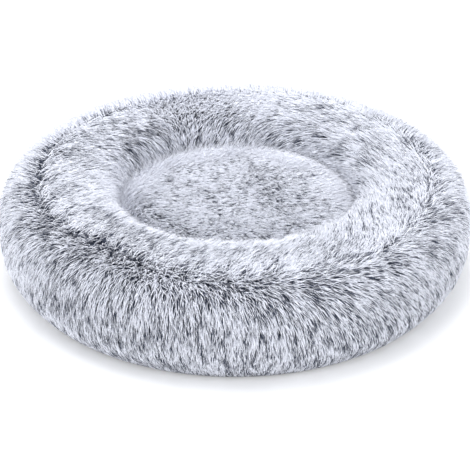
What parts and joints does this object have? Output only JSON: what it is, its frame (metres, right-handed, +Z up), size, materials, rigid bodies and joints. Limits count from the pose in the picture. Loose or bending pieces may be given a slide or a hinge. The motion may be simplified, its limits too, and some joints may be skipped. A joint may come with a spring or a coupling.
{
  "type": "pet bed",
  "caption": "Round stuffed plush pet bed: a thick bolster ring round a well, with a loose cushion in it and a zip round the back of the base.",
  "frame": {"origin": "middle of the underside, on the floor", "axes": "+Z up out of the well, -Y towards the front, so the zip is on the +Y side"},
  "size_m": [0.784, 0.784, 0.17],
  "materials": {
    "plush": "long-pile plush, frosted white over charcoal roots",
    "nonwoven": "white spun non-woven",
    "fibre": "white hollow-fibre stuffing",
    "oxford": "grey coated Oxford cloth",
    "tape": "grey woven polyester tape",
    "coil": "grey nylon coil",
    "metal": "nickel-plated zinc",
    "label": "white satin ribbon, blank"
  },
  "bodies": {
    "bed": {"outer_fur_panel": "plush", "inner_fur_panel": "plush", "bolster_liner": "nonwoven", "bolster_fill": "fibre", "base_panel": "oxford", "base_wadding": "fibre", "well_floor_panel": "oxford", "base_side_band": "oxford", "zip_tape_lower": "tape", "zip_tape_upper": "tape", "zip_coil_lower": "coil", "zip_coil_upper": "coil", "zip_top_stop": "metal", "zip_bottom_stop": "metal", "care_label": "label"},
    "cushion": {"cushion_fur_top": "plush", "cushion_base_cloth": "oxford", "cushion_fill": "fibre"},
    "slider": {"zip_slider": "metal"},
    "pull": {"zip_pull": "metal"}
  },
  "joints": [
    {"name": "cushion_lift", "type": "slide", "parent": "bed", "child": "cushion", "axis": [0, 0, 1], "range_m": [0, 0.2]},
    {"name": "zip_slide", "type": "hinge", "parent": "bed", "child": "slider", "pos_m": [0, 0, 0.01475], "axis": [0, 0, 1], "range_deg": [0, 125.9]},
    {"name": "pull_swing", "type": "hinge", "parent": "slider", "child": "pull", "pos_m": [0.32262, 0.16441, 0.01475], "axis": [0, 0, -1], "range_deg": [0, 170]}
  ]
}
